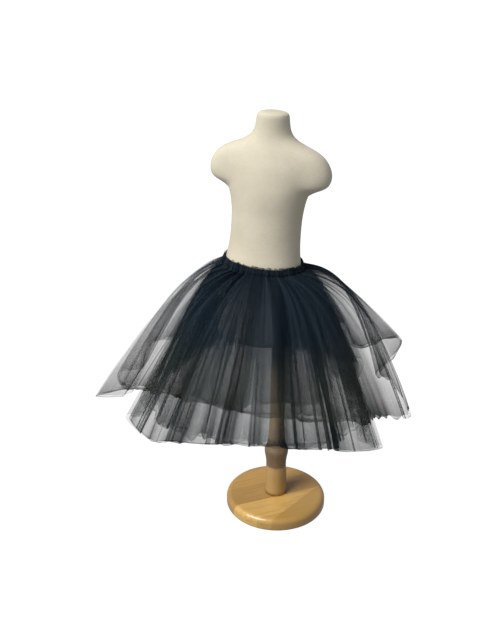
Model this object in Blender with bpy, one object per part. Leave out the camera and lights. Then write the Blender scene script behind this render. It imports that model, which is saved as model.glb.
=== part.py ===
"""A gathered black tulle skirt on a child's limbless dress form, with its turned post and round base.

Metres, +Z up. The origin is the centre of the base's underside. The form faces -Y. An azimuth is in
degrees: 0 is the front (-Y), 90 is the form's left (+X), 180 is the back. The form and the skirt are
modelled upright in their own frame, whose origin is the centre of the form's underside, and that frame
leans a little on the post.
"""

import math

import bpy
import numpy as np
from mathutils import Matrix, Vector

SEAT_GAP = 0.0003  # between pieces that touch

BASE_RADIUS = 0.1275
BASE_THICKNESS = 0.034
BASE_TOP_ROUND = 0.014
BASE_FOOT_ROUND = 0.008
BASE_ARC_STEPS = 3
BASE_SIDES = 40

# The turned post: a stout foot, a bead above it, and a slim shaft that tapers upward.
POST_COLUMNS = ("height above the base", "radius")
POST_PROFILE = (
    (0.000, 0.0272),
    (0.045, 0.0270),
    (0.066, 0.0266),
    (0.075, 0.0257),
    (0.092, 0.0256),
    (0.108, 0.0276),
    (0.119, 0.0296),
    (0.129, 0.0299),
    (0.137, 0.0264),
    (0.146, 0.0230),
    (0.160, 0.0213),
    (0.185, 0.0203),
    (0.212, 0.0190),
    (0.262, 0.0180),
    (0.330, 0.0168),
)
POST_SIDES = 24

# Where the form sits: its underside's centre is off the post's axis, and it leans the other way.
FORM_UNDERSIDE_HEIGHT = 0.482
FORM_OFFSET = 0.0483
FORM_OFFSET_AZIMUTH = -72.0
FORM_LEAN = 3.2
FORM_LEAN_AZIMUTH = 108.0

# Level sections of the form, from its underside to the top of its neck: the torso, and the two short arm
# stumps that stand out of it where their reach is more than the torso's half width.
FORM_COLUMNS = ("height", "half width", "half depth", "set back", "arm reach", "arm half depth")
FORM_SECTIONS = (
    (0.000, 0.0870, 0.0730, -0.001, 0.0000, 0.030),
    (0.003, 0.0950, 0.0805, -0.001, 0.0000, 0.030),
    (0.012, 0.0995, 0.0855, -0.002, 0.0000, 0.030),
    (0.038, 0.1010, 0.0865, -0.003, 0.0000, 0.030),
    (0.078, 0.1005, 0.0865, -0.004, 0.0000, 0.030),
    (0.118, 0.0975, 0.0840, -0.006, 0.0000, 0.030),
    (0.158, 0.0920, 0.0790, -0.007, 0.0000, 0.030),
    (0.192, 0.0870, 0.0745, -0.006, 0.0000, 0.030),
    (0.218, 0.0830, 0.0705, -0.004, 0.0000, 0.030),
    (0.245, 0.0810, 0.0690, -0.002, 0.0000, 0.030),
    (0.273, 0.0804, 0.0690, -0.001, 0.0000, 0.030),
    (0.301, 0.0812, 0.0695, 0.000, 0.0000, 0.030),
    (0.329, 0.0850, 0.0705, 0.0000, 0.0300, 0.030),
    (0.345, 0.0892, 0.0706, 0.0001, 0.0700, 0.032),
    (0.353, 0.0920, 0.0705, 0.0003, 0.0930, 0.035),
    (0.361, 0.0948, 0.0702, 0.0005, 0.1085, 0.039),
    (0.368, 0.0972, 0.0698, 0.0008, 0.1230, 0.043),
    (0.375, 0.0994, 0.0692, 0.0011, 0.1325, 0.046),
    (0.385, 0.1018, 0.0682, 0.0014, 0.1372, 0.048),
    (0.398, 0.1040, 0.0664, 0.0017, 0.1380, 0.049),
    (0.411, 0.1045, 0.0640, 0.0016, 0.1346, 0.049),
    (0.424, 0.1022, 0.0600, 0.0009, 0.1275, 0.048),
    (0.437, 0.0960, 0.0548, 0.0000, 0.1150, 0.046),
    (0.449, 0.0850, 0.0492, -0.001, 0.0940, 0.042),
    (0.461, 0.0655, 0.0438, -0.002, 0.0600, 0.036),
    (0.474, 0.0480, 0.0400, -0.003, 0.0200, 0.030),
    (0.488, 0.0400, 0.0375, -0.004, 0.0000, 0.030),
    (0.504, 0.0368, 0.0362, -0.005, 0.0000, 0.030),
    (0.517, 0.0348, 0.0345, -0.006, 0.0000, 0.030),
    (0.523, 0.0300, 0.0300, -0.006, 0.0000, 0.030),
    (0.526, 0.0180, 0.0180, -0.006, 0.0000, 0.030),
)
ARM_SQUARENESS = 2.6  # 2 is an ellipse
ARM_BLEND = 0.012  # how widely the arm stumps run into the chest
FORM_SIDES = 36

# The elastic casing round the waist, as a band of small gathers.
BAND_BOTTOM = 0.179
BAND_TOP = 0.192
BAND_SLACK = 0.0005  # between the form and the band
BAND_GATHERS = 40
BAND_POINTS_PER_GATHER = 4
BAND_GATHER_DEPTH = 0.0009
BAND_COLUMNS = ("part of the band's height", "thickness there")
BAND_PROFILE = ((0.0, 0.0088), (0.6, 0.0070), (1.0, 0.0036))

# The net layers, each gathered into the band and cut into a front and a back panel.
NET_THICKNESS = 0.0012
ROW_SPREAD = 1.4  # above 1, the rings of points are closer together near the band
SPRING = 1.6  # how much more the net springs outward just under the band
SPRING_FADE = 2  # and how quickly that fades, as a power
SEAM_AZIMUTHS = (90.0, 270.0)
SEAM_GAP = 0.00035

# One row is one fold of a layer, at the hem: the outward crest and the valley that follows it. The
# lengths run from the band to the hem. The tuck draws the valley back under its crest, in degrees. The
# bulge is how far the net stands out above a straight line from band to hem, as a part of its length.
FOLD_COLUMNS = (
    "crest azimuth",
    "crest reach",
    "crest length",
    "valley reach",
    "valley length",
    "tuck",
    "bulge",
)
OUTER_FOLDS = (
    (-47, 0.403, 0.411, 0.350, 0.347, 3, 0.31),
    (-20, 0.368, 0.334, 0.342, 0.318, 2, 0.28),
    (4, 0.358, 0.326, 0.336, 0.318, 5, 0.26),
    (26, 0.358, 0.330, 0.342, 0.330, 4, 0.28),
    (52, 0.376, 0.360, 0.366, 0.367, 0, 0.36),
    (77, 0.391, 0.402, 0.366, 0.396, 0, 0.41),
    (106, 0.336, 0.372, 0.316, 0.370, 0, 0.38),
    (132, 0.415, 0.410, 0.352, 0.400, -2, 0.15),
    (157, 0.385, 0.400, 0.350, 0.395, 4, 0.18),
    (181, 0.372, 0.395, 0.346, 0.390, 5, 0.18),
    (205, 0.370, 0.400, 0.344, 0.395, 4, 0.18),
    (229, 0.362, 0.400, 0.330, 0.395, 3, 0.18),
    (256, 0.346, 0.400, 0.306, 0.395, 0, 0.215),
    (284, 0.340, 0.400, 0.304, 0.386, 0, 0.24),
)
LONG_FOLDS = (
    (-42, 0.334, 0.409, 0.304, 0.425, 1, 0.18),
    (-19, 0.320, 0.402, 0.298, 0.393, 6, 0.18),
    (3, 0.312, 0.375, 0.292, 0.370, 6, 0.18),
    (25, 0.312, 0.369, 0.294, 0.374, 5, 0.20),
    (47, 0.326, 0.388, 0.308, 0.398, 4, 0.22),
    (67, 0.360, 0.425, 0.288, 0.412, 2, 0.26),
    (91, 0.286, 0.405, 0.268, 0.400, 2, 0.22),
    (116, 0.272, 0.395, 0.264, 0.395, 0, 0.16),
    (139, 0.330, 0.405, 0.304, 0.400, 3, 0.14),
    (164, 0.320, 0.400, 0.300, 0.400, 5, 0.14),
    (189, 0.316, 0.400, 0.298, 0.400, 5, 0.14),
    (214, 0.316, 0.400, 0.296, 0.400, 5, 0.14),
    (238, 0.306, 0.405, 0.262, 0.400, 2, 0.14),
    (261, 0.270, 0.400, 0.258, 0.400, 0, 0.14),
    (290, 0.276, 0.405, 0.268, 0.405, 0, 0.16),
)
MIDDLE_FOLDS = (
    (-34, 0.284, 0.385, 0.264, 0.380, 4, 0.13),
    (-10, 0.276, 0.370, 0.260, 0.370, 5, 0.13),
    (14, 0.272, 0.365, 0.258, 0.365, 5, 0.13),
    (36, 0.276, 0.365, 0.262, 0.370, 5, 0.13),
    (58, 0.290, 0.380, 0.262, 0.380, 4, 0.14),
    (80, 0.262, 0.385, 0.242, 0.380, 2, 0.14),
    (104, 0.246, 0.375, 0.238, 0.370, 0, 0.13),
    (127, 0.248, 0.370, 0.244, 0.370, 0, 0.13),
    (150, 0.280, 0.375, 0.264, 0.375, 4, 0.11),
    (176, 0.276, 0.375, 0.262, 0.375, 4, 0.11),
    (202, 0.276, 0.375, 0.264, 0.375, 4, 0.11),
    (226, 0.276, 0.375, 0.256, 0.375, 4, 0.11),
    (250, 0.246, 0.375, 0.238, 0.370, 1, 0.11),
    (274, 0.240, 0.375, 0.234, 0.375, 0, 0.11),
    (300, 0.250, 0.380, 0.252, 0.380, 0, 0.11),
)
SHORT_FOLDS = (
    (-22, 0.218, 0.295, 0.202, 0.295, 5, 0.09),
    (6, 0.212, 0.295, 0.200, 0.280, 6, 0.09),
    (32, 0.210, 0.275, 0.198, 0.280, 6, 0.09),
    (60, 0.216, 0.295, 0.194, 0.300, 4, 0.09),
    (90, 0.192, 0.295, 0.184, 0.295, 2, 0.09),
    (120, 0.186, 0.295, 0.184, 0.295, 1, 0.09),
    (153, 0.212, 0.295, 0.202, 0.295, 5, 0.09),
    (186, 0.212, 0.295, 0.202, 0.295, 6, 0.09),
    (218, 0.212, 0.295, 0.198, 0.295, 5, 0.09),
    (250, 0.190, 0.295, 0.182, 0.295, 2, 0.09),
    (280, 0.184, 0.295, 0.182, 0.295, 0, 0.09),
    (309, 0.196, 0.295, 0.196, 0.295, 2, 0.09),
)
LAYER_COLUMNS = (
    "name",
    "folds",
    "places in from the outermost",
    "points per fold",
    "rings of points",
    "colour",
)
LAYERS = (
    ("outer_layer", OUTER_FOLDS, 0, 9, 7, (0.035, 0.040, 0.046)),
    ("long_layer", LONG_FOLDS, 1, 8, 7, (0.026, 0.031, 0.037)),
    ("middle_layer", MIDDLE_FOLDS, 2, 7, 6, (0.019, 0.024, 0.030)),
    ("short_layer", SHORT_FOLDS, 3, 7, 6, (0.012, 0.016, 0.021)),
)
# At the band the outermost layer hangs under the band's outer edge, and each next one a place further in
# and down.
OUTER_LAYER_PROUD = 0.0080  # from the form's surface to the outermost layer
PLACE_IN = 0.0020
PLACE_DOWN = 0.0012


def clear_scene():
    for obj in list(bpy.data.objects):
        bpy.data.objects.remove(obj, do_unlink=True)


def plain_material(name, colour, roughness):
    material = bpy.data.materials.new(name)
    material.use_nodes = True
    shader = material.node_tree.nodes["Principled BSDF"]
    shader.inputs["Base Color"].default_value = (*colour, 1.0)
    shader.inputs["Roughness"].default_value = roughness
    shader.inputs["Metallic"].default_value = 0.0
    return material


def add_object(name, points, faces, material, parent=None):
    mesh = bpy.data.meshes.new(name)
    mesh.from_pydata([tuple(point) for point in points], [], faces)
    mesh.materials.append(material)
    mesh.shade_smooth()
    obj = bpy.data.objects.new(name, mesh)
    obj.parent = parent
    bpy.context.scene.collection.objects.link(obj)
    return obj


def direction(azimuth):
    """The level unit vector at an azimuth in degrees."""
    turn = math.radians(azimuth)
    return Vector((math.sin(turn), -math.cos(turn), 0.0))


def ring_faces(rings, sides):
    """Quads between rings of points that run anticlockwise seen from above, from the lowest ring up."""
    faces = []
    for ring in range(rings - 1):
        for side in range(sides):
            beside = (side + 1) % sides
            low, high = ring * sides, (ring + 1) * sides
            faces.append((low + side, low + beside, high + beside, high + side))
    return faces


def capped_stack(rings):
    """Points and faces of a closed solid through a stack of rings, lowest first."""
    sides = len(rings[0])
    points = [point for ring in rings for point in ring]
    faces = ring_faces(len(rings), sides)
    faces.append(tuple(reversed(range(sides))))
    top = (len(rings) - 1) * sides
    faces.append(tuple(range(top, top + sides)))
    return points, faces


def level_ring(height, half_width, half_depth, set_back, sides):
    ring = []
    for side in range(sides):
        turn = 2 * math.pi * side / sides
        ring.append((half_width * math.cos(turn), set_back + half_depth * math.sin(turn), height))
    return ring


def form_section(height):
    """(half width, half depth, set back) of the form at a height, read between its sections."""
    table = np.array(FORM_SECTIONS)
    return tuple(float(np.interp(height, table[:, 0], table[:, column])) for column in (1, 2, 3))


def form_surface(azimuth, height, proud):
    """A point that stands proud of the form by a level distance, at an azimuth round its centre."""
    half_width, half_depth, set_back = form_section(height)
    outward = direction(azimuth)
    reach = 1 / math.hypot(outward.x / (half_width + proud), outward.y / (half_depth + proud))
    return Vector((reach * outward.x, set_back + reach * outward.y, height))


def make_base(material):
    """The turned disc: a flat underside and top, and a rounded edge."""
    profile = [(BASE_RADIUS - BASE_FOOT_ROUND, 0.0)]
    for step in range(1, BASE_ARC_STEPS + 1):
        turn = 0.5 * math.pi * step / BASE_ARC_STEPS
        profile.append(
            (
                BASE_RADIUS - BASE_FOOT_ROUND * (1 - math.sin(turn)),
                BASE_FOOT_ROUND * (1 - math.cos(turn)),
            )
        )
    for step in range(BASE_ARC_STEPS + 1):
        turn = 0.5 * math.pi * step / BASE_ARC_STEPS
        profile.append(
            (
                BASE_RADIUS - BASE_TOP_ROUND * (1 - math.cos(turn)),
                BASE_THICKNESS - BASE_TOP_ROUND * (1 - math.sin(turn)),
            )
        )
    rings = [level_ring(height, radius, radius, 0.0, BASE_SIDES) for radius, height in profile]
    add_object("base_disc", *capped_stack(rings), material)


def make_post(material, seat):
    """The post, from just above the base to just under the form, its top cut to the form's slope."""
    foot = BASE_THICKNESS + SEAT_GAP
    rings = [level_ring(foot + height, radius, radius, 0.0, POST_SIDES) for height, radius in POST_PROFILE]
    underside = seat.translation
    normal = seat.to_3x3() @ Vector((0.0, 0.0, 1.0))
    top_radius = POST_PROFILE[-1][1]
    top = []
    for x, y, _ in level_ring(0.0, top_radius, top_radius, 0.0, POST_SIDES):
        fall = normal.x * (x - underside.x) + normal.y * (y - underside.y)
        top.append((x, y, underside.z - fall / normal.z - SEAT_GAP))
    add_object("post", *capped_stack([*rings, top]), material)


def form_ring(height, half_width, half_depth, set_back, arm_reach, arm_half_depth):
    """A level ring of the form: the torso's ellipse, run smoothly into the arm stumps."""
    ring = []
    for side in range(FORM_SIDES):
        turn = 2 * math.pi * side / FORM_SIDES
        across, along = abs(math.cos(turn)), abs(math.sin(turn))
        torso = 1 / math.hypot(across / half_width, along / half_depth)
        arm = 0.0
        if arm_reach > 0.0:
            lobe = (across / arm_reach) ** ARM_SQUARENESS + (along / arm_half_depth) ** ARM_SQUARENESS
            arm = lobe ** (-1 / ARM_SQUARENESS)
        reach = max(torso, arm) + max(ARM_BLEND - abs(torso - arm), 0.0) ** 2 / (4 * ARM_BLEND)
        ring.append((reach * math.cos(turn), set_back + reach * math.sin(turn), height))
    return ring


def make_form(material, parent):
    rings = [form_ring(*section) for section in FORM_SECTIONS]
    add_object("dress_form", *capped_stack(rings), material, parent)


def make_waistband(material, parent):
    """A closed band round the form: a plain inner face, and an outer face of small upright gathers."""
    columns = BAND_GATHERS * BAND_POINTS_PER_GATHER
    points = []
    for part, thickness in BAND_PROFILE:
        height = BAND_BOTTOM + part * (BAND_TOP - BAND_BOTTOM)
        for column in range(columns):
            gather = math.cos(2 * math.pi * column / BAND_POINTS_PER_GATHER)
            proud = BAND_SLACK + thickness + BAND_GATHER_DEPTH * gather
            points.append(form_surface(360 * column / columns, height, proud))
    for height in (BAND_TOP, BAND_BOTTOM):
        for column in range(columns):
            points.append(form_surface(360 * column / columns, height, BAND_SLACK))
    loops = len(BAND_PROFILE) + 2
    faces = ring_faces(loops, columns)
    last = (loops - 1) * columns
    for column in range(columns):
        beside = (column + 1) % columns
        faces.append((last + column, last + beside, beside, column))
    add_object("waistband", points, faces, material, parent)


def hem_stations(folds):
    """The crests and valleys of a hem, in order: waist azimuth, hem azimuth, reach, length, bulge."""
    stations = []
    for index, (azimuth, reach, length, valley_reach, valley_length, tuck, bulge) in enumerate(folds):
        gap = (folds[(index + 1) % len(folds)][0] - azimuth) % 360
        valley = azimuth + gap / 2
        stations.append((azimuth, azimuth, reach, length, bulge))
        stations.append((valley, valley - tuck, valley_reach, valley_length, bulge))
    return stations


def along_hem(stations, place):
    """A station's values at a place along the hem, counted in stations, on a smooth curve through them."""
    index = math.floor(place)
    part = place - index
    near = []
    for step in (-1, 0, 1, 2):
        laps, position = divmod(index + step, len(stations))
        near.append(np.array(stations[position]) + np.array((360.0 * laps, 360.0 * laps, 0.0, 0.0, 0.0)))
    before, start, end, after = near
    rise = part * part * (3 - 2 * part)
    slopes = (end - before) / 2 * part * (1 - part) ** 2 - (after - start) / 2 * part * part * (1 - part)
    return [float(value) for value in start * (1 - rise) + end * rise + slopes]


def net_point(stations, place_in, place, part):
    """The middle of a layer's net, at a place round it and a part of the way from the band to the hem."""
    waist_azimuth, azimuth, reach, length, bulge = along_hem(stations, place)
    start_height = BAND_BOTTOM - SEAT_GAP - 0.6 * NET_THICKNESS - PLACE_DOWN * place_in
    start = form_surface(waist_azimuth, start_height, OUTER_LAYER_PROUD - PLACE_IN * place_in)
    start_reach = math.hypot(start.x, start.y)
    spread = reach - start_reach
    fall = math.sqrt(length * length - spread * spread)
    arch = bulge * part * (1 - part) * (1 + SPRING * (1 - part) ** SPRING_FADE)
    start_azimuth = math.degrees(math.atan2(start.x, -start.y))
    swing = (azimuth - start_azimuth + 180) % 360 - 180
    level = (start_reach + spread * (part + arch)) * direction(start_azimuth + swing * part)
    return level.x, level.y, start_height - fall * (part - arch)


def nearest_station(stations, azimuth):
    offsets = [abs((waist - azimuth + 180) % 360 - 180) for waist, *_ in stations]
    return offsets.index(min(offsets))


def net_walls(stations, place_in, columns, rings):
    """A whole layer's outer and inner faces, as two grids of points: rings down it, columns round it."""
    places = [len(stations) * column / columns for column in range(columns)]
    parts = [(ring / (rings - 1)) ** ROW_SPREAD for ring in range(rings)]
    middle = np.array([[net_point(stations, place_in, place, part) for place in places] for part in parts])
    round_it = np.roll(middle, -1, axis=1) - np.roll(middle, 1, axis=1)
    down_it = np.gradient(middle, axis=0)
    normal = np.cross(down_it, round_it)
    normal *= NET_THICKNESS / 2 / np.linalg.norm(normal, axis=2, keepdims=True)
    return middle + normal, middle - normal


def make_net_panel(name, walls, first, last, material, parent):
    """One panel: the closed solid between a layer's two faces, from one seam's column to the next."""
    columns = last - first + 1
    rows = len(walls[0])
    take = np.arange(first, last + 1) % walls[0].shape[1]
    points = []
    for wall in walls:
        face = wall[:, take].copy()
        for end, beside in ((0, 1), (-1, -2)):
            inward = face[:, beside] - face[:, end]
            face[:, end] += inward * SEAM_GAP / 2 / np.linalg.norm(inward, axis=1, keepdims=True)
        points.extend(face.reshape(-1, 3))
    faces = []
    inner = rows * columns
    for row in range(rows - 1):
        for column in range(columns - 1):
            high, low = row * columns + column, (row + 1) * columns + column
            faces.append((high, low, low + 1, high + 1))
            faces.append((inner + high + 1, inner + low + 1, inner + low, inner + high))
    rim = [row * columns for row in range(rows)]
    rim += [(rows - 1) * columns + column for column in range(1, columns)]
    rim += [row * columns + columns - 1 for row in range(rows - 2, -1, -1)]
    rim += [column for column in range(columns - 2, 0, -1)]
    for here, beside in zip(rim, rim[1:] + rim[:1]):
        faces.append((beside, here, inner + here, inner + beside))
    add_object(name, points, faces, material, parent)


def make_layer(name, folds, place_in, points_per_fold, rings, colour, parent):
    """A layer of net, gathered into the band and cut at its side seams into a front and a back panel."""
    material = plain_material(name + "_net", colour, 0.6)
    stations = hem_stations(folds)
    columns = len(folds) * points_per_fold
    walls = net_walls(stations, place_in, columns, rings)
    left, right = (
        round(nearest_station(stations, azimuth) * columns / len(stations)) for azimuth in SEAM_AZIMUTHS
    )
    make_net_panel(name + "_front", walls, right - columns, left, material, parent)
    make_net_panel(name + "_back", walls, left, right, material, parent)


def form_seat():
    """The form's own frame: where its underside's centre is, and how the form leans."""
    outward = direction(FORM_OFFSET_AZIMUTH) * FORM_OFFSET
    lean_axis = Vector((0.0, 0.0, 1.0)).cross(direction(FORM_LEAN_AZIMUTH))
    place = Matrix.Translation((outward.x, outward.y, FORM_UNDERSIDE_HEIGHT))
    return place @ Matrix.Rotation(math.radians(FORM_LEAN), 4, lean_axis)


def main():
    clear_scene()
    wood = plain_material("varnished_wood", (0.50, 0.33, 0.13), 0.35)
    cloth = plain_material("cream_cloth", (0.62, 0.58, 0.49), 0.85)
    elastic = plain_material("black_casing", (0.010, 0.013, 0.018), 0.7)
    seat_place = form_seat()
    seat = bpy.data.objects.new("form_seat", None)
    seat.matrix_world = seat_place
    bpy.context.scene.collection.objects.link(seat)
    make_base(wood)
    make_post(wood, seat_place)
    make_form(cloth, seat)
    make_waistband(elastic, seat)
    for layer in LAYERS:
        make_layer(*layer, seat)


main()
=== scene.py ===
"""A gathered black tulle skirt on a child's limbless dress form, with its turned post and round base.

Metres, +Z up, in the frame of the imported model: the origin is the centre of the base's underside, and the
form faces -Y.
"""

import math

import bmesh
import bpy
import numpy as np
from mathutils import Matrix, Vector


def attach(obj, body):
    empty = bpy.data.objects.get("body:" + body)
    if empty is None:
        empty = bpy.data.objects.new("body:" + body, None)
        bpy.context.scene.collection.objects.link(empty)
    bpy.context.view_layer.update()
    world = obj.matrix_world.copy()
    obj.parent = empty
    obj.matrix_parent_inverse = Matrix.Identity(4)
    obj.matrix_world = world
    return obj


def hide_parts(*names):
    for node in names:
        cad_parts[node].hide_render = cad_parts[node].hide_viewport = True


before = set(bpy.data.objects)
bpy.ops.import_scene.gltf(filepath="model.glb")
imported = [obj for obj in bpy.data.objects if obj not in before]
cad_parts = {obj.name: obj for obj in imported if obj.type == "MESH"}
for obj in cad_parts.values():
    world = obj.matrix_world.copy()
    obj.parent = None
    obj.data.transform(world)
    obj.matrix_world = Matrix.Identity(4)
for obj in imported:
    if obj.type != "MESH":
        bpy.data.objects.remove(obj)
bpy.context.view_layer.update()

# -------------------------------------------------------------------------------------------------
# The studio: a plain pale floor that runs out of view, one soft sun from the front left, and an even
# pale sky. The camera stands at a grown-up's shoulder height, a little to the form's left, and looks
# down on the skirt.

CAMERA_PLACE = (0.4554, -1.7026, 1.262)
CAMERA_TILT = 67.1  # degrees up from straight down
CAMERA_TURN = 18.0
CAMERA_LENS = 45.1  # mm, on a 36 mm sensor
CAMERA_REACH = 1000.0
SUN_FROM = -37.0  # azimuth that the sun shines from, in degrees: 0 is the front, 90 the form's left
SUN_HEIGHT = 47.0
SUN_SOFTNESS = 34.0  # degrees across
SUN_STRENGTH = 3.75
SUN_COLOUR = (1.0, 0.985, 0.955)
SKY_STRENGTH = 0.34
SKY_COLOUR = (0.97, 0.985, 1.0, 1.0)
FLOOR_PAINT = (0.04, 0.04, 0.04, 1.0)
FLOOR_ROUGHNESS = 0.9
FLOOR_GLOW = 0.985
FLOOR_SIZE = 400.0
NET_CROSSINGS = 32  # how many sheets of net the light may pass through

scene = bpy.context.scene
scene.view_settings.view_transform = "Standard"
scene.cycles.transparent_max_bounces = NET_CROSSINGS

camera_data = bpy.data.cameras.new("camera")
camera_data.lens = CAMERA_LENS
camera_data.clip_end = CAMERA_REACH
camera = bpy.data.objects.new("camera", camera_data)
camera.location = CAMERA_PLACE
camera.rotation_euler = (math.radians(CAMERA_TILT), 0.0, math.radians(CAMERA_TURN))
scene.collection.objects.link(camera)
scene.camera = camera

sun_data = bpy.data.lights.new("window_light", "SUN")
sun_data.energy = SUN_STRENGTH
sun_data.angle = math.radians(SUN_SOFTNESS)
sun_data.color = SUN_COLOUR
sun = bpy.data.objects.new("window_light", sun_data)
sun.rotation_euler = (math.radians(90.0 - SUN_HEIGHT), 0.0, math.radians(SUN_FROM))
scene.collection.objects.link(sun)

sky = bpy.data.worlds.new("pale_sky")
sky.use_nodes = True
sky_light = sky.node_tree.nodes["Background"]
sky_light.inputs["Color"].default_value = SKY_COLOUR
sky_light.inputs["Strength"].default_value = SKY_STRENGTH
scene.world = sky

floor_mesh = bpy.data.meshes.new("floor")
half = FLOOR_SIZE / 2
floor_mesh.from_pydata(
    [(-half, -half, 0), (half, -half, 0), (half, half, 0), (-half, half, 0)], [], [(0, 1, 2, 3)]
)
floor = bpy.data.objects.new("floor", floor_mesh)
floor_paint = bpy.data.materials.new("pale_floor")
floor_paint.use_nodes = True
floor_shader = floor_paint.node_tree.nodes["Principled BSDF"]
floor_shader.inputs["Base Color"].default_value = FLOOR_PAINT
floor_shader.inputs["Roughness"].default_value = FLOOR_ROUGHNESS
floor_shader.inputs["Emission Color"].default_value = (1.0, 1.0, 1.0, 1.0)
floor_shader.inputs["Emission Strength"].default_value = FLOOR_GLOW
floor_mesh.materials.append(floor_paint)
floor.visible_diffuse = False
floor.visible_glossy = False
scene.collection.objects.link(floor)

# -------------------------------------------------------------------------------------------------
# The base: a disc of light hardwood, glued up from wide staves that run askew to the form, turned with
# a rounded edge and given a clear satin varnish. It lies flat on the floor.

BASE_RADIUS = 0.1275
BASE_THICKNESS = 0.034
BASE_TOP_ROUND = 0.014
BASE_FOOT_ROUND = 0.008
BASE_SIDES = 144
STAVE_TURN = 39.0  # degrees from +X
STAVE_WIDTH = 0.068
STAVE_SHIFT = 0.0237  # from the post's axis to the nearest glue line
GLUE_LINE = 0.022  # its width, as a part of a stave
# The staves' own tones, darkened all over as painted shade for the skirt's shadow on the base.
SHADED_STAVE_TONES = ((0.49, 0.285, 0.076), (0.40, 0.232, 0.064), (0.60, 0.372, 0.112), (0.50, 0.300, 0.090))
FLAME_TURN = 67.2  # the slanting edge of the darker figure in the front staves
FLAME_SHIFT = 0.0708
FLAME_EDGE = 0.003
FLAME_SIDE = 0.02  # of a stave
WOOD_DARK = (0.30, 0.155, 0.042)
GRAIN_LENGTH = 3.0  # scales of the grain's pattern, along the wood and across it
STAVE_GRAIN = 26.0
GRAIN_DEPTH = 0.0006
VARNISH_COAT = 0.5


class Shade:
    """One output of a material's nodes. Arithmetic on it adds Math nodes, and node() any other kind."""

    def __init__(self, tree, output=None):
        self.tree = tree
        self.output = output

    def plug(self, socket, value):
        if isinstance(value, Shade):
            self.tree.links.new(value.output, socket)
        else:
            socket.default_value = value

    def node(self, kind, inputs=None, pick=0, **settings):
        """One output of a new node. Its settings are made first, then its inputs, by name or place."""
        made = self.tree.nodes.new("ShaderNode" + kind)
        stops = settings.pop("stops", None)
        for name, value in settings.items():
            setattr(made, name, value)
        if stops:
            ramp = made.color_ramp
            for index, (position, colour) in enumerate(stops):
                element = ramp.elements[index] if index < 2 else ramp.elements.new(position)
                element.position = position
                element.color = (*colour, 1.0)
        for name, value in (inputs or {}).items():
            self.plug(made.inputs[name], value)
        return Shade(self.tree, made.outputs[pick])

    def maths(self, operation, *values):
        return self.node("Math", dict(enumerate(values)), operation=operation)

    def __add__(self, other):
        return self.maths("ADD", self, other)

    __radd__ = __add__

    def __sub__(self, other):
        return self.maths("SUBTRACT", self, other)

    def __rsub__(self, other):
        return self.maths("SUBTRACT", other, self)

    def __mul__(self, other):
        return self.maths("MULTIPLY", self, other)

    def __truediv__(self, other):
        return self.maths("DIVIDE", self, other)

    def __rpow__(self, other):
        return self.maths("POWER", other, self)

    def part(self, axis):
        """The X, Y or Z part of a vector, where axis is 0, 1 or 2."""
        return self.node("SeparateXYZ", {0: self}, pick=axis)

    def between(self, low, high):
        """0 below low, 1 above high, and a smooth rise between them."""
        return self.node(
            "MapRange",
            {"Value": self, "From Min": low, "From Max": high},
            interpolation_type="SMOOTHSTEP",
        )

    def tint(self, colour, other):
        """colour where this is 0, other where it is 1."""
        ends = [value if isinstance(value, Shade) else (*value, 1.0) for value in (colour, other)]
        return self.node("Mix", {0: self, 6: ends[0], 7: ends[1]}, pick=2, data_type="RGBA")


def new_material(name):
    """(material, a Shade to start from)"""
    material = bpy.data.materials.new(name)
    material.use_nodes = True
    return material, Shade(material.node_tree)


def with_looks(material, looks):
    """The material, with the inputs of its shader set or linked by name."""
    shader = material.node_tree.nodes["Principled BSDF"]
    for name, value in looks.items():
        Shade(material.node_tree).plug(shader.inputs[name], value)
    return material


def finish_piece(name, points, faces, material, slot, *nodes):
    """A mesh piece that stands for one or more nodes of the model."""
    mesh = bpy.data.meshes.new(name)
    mesh.from_pydata([tuple(point) for point in points], [], faces)
    mesh.materials.append(material)
    mesh.shade_smooth()
    piece = bpy.data.objects.new(name, mesh)
    scene.collection.objects.link(piece)
    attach(piece, "root")
    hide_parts(*nodes)
    return piece


def closed_rings(ring_count, sides):
    """Faces of a closed solid whose points go round it ring by ring, the lowest ring first."""
    faces = []
    for ring in range(ring_count - 1):
        for side in range(sides):
            low, beside = ring * sides + side, ring * sides + (side + 1) % sides
            faces.append((low, beside, beside + sides, low + sides))
    top = (ring_count - 1) * sides
    return [*faces, tuple(reversed(range(sides))), tuple(range(top, top + sides))]


def turned(profile, sides):
    """Points and faces of a solid turned round the Z axis from (radius, height) pairs, lowest first."""
    points = []
    for radius, height in profile:
        for side in range(sides):
            turn = 2 * math.pi * side / sides
            points.append((radius * math.cos(turn), radius * math.sin(turn), height))
    return points, closed_rings(len(profile), sides)


def rounded(centre_radius, centre_height, bend, start, end, steps):
    """(radius, height) pairs along a rounded edge, from one angle to another, in degrees."""
    pairs = []
    for step in range(steps + 1):
        angle = math.radians(start + (end - start) * step / steps)
        pairs.append((centre_radius + bend * math.cos(angle), centre_height + bend * math.sin(angle)))
    return pairs


def wood_grain(shade, turn, stretch):
    """(fine grain, broad figure) of wood with level grain at this turn, or upright if turn is None."""
    place = shade.node("TexCoord", pick="Object")
    if turn is None:
        along = shade.node("Mapping", {"Vector": place, "Scale": (stretch, stretch, GRAIN_LENGTH)})
    else:
        level = shade.node("Mapping", {"Vector": place, "Rotation": (0.0, 0.0, -math.radians(turn))})
        along = shade.node("Mapping", {"Vector": level, "Scale": (GRAIN_LENGTH, stretch, stretch)})
    fine = shade.node("TexNoise", {"Vector": along, "Scale": 14.0, "Detail": 5.0, "Roughness": 0.6})
    broad = shade.node("TexNoise", {"Vector": along, "Scale": 2.2, "Detail": 3.0, "Distortion": 1.2})
    return fine, broad


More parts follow.
